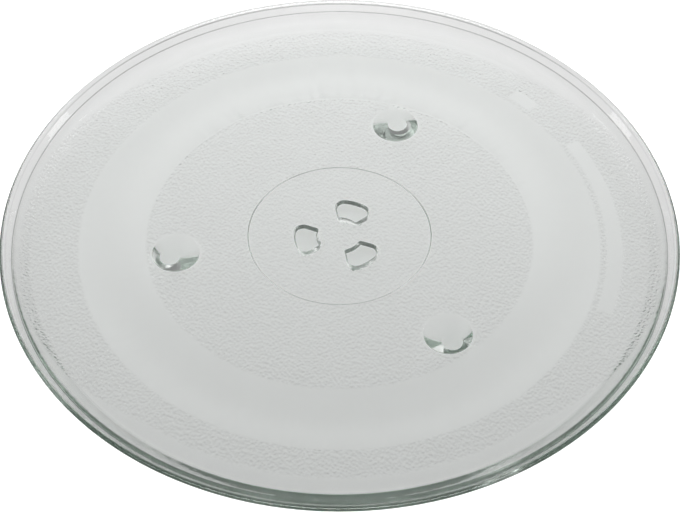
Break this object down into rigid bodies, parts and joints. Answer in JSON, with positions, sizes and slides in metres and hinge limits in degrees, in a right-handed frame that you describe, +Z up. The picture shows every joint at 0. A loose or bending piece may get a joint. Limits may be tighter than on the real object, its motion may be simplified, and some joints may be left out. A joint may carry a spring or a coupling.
{
  "type": "microwave turntable plate",
  "caption": "Round shallow glass tray with a raised rim; its underside has a smooth roller track, solid feet and drive lugs that a microwave oven's coupler turns.",
  "frame": {"origin": "on the plate's axis, in the plane of the feet's flat pads", "axes": "+Z up along the plate's axis; +Y from the axis through the first foot and the lug in line with it"},
  "size_m": [0.315, 0.315, 0.0159],
  "materials": {
    "glass": "clear pressed glass, smooth above, stippled below outside the roller track"
  },
  "bodies": {
    "root": {"turntable_plate": "glass"}
  },
  "joints": []
}
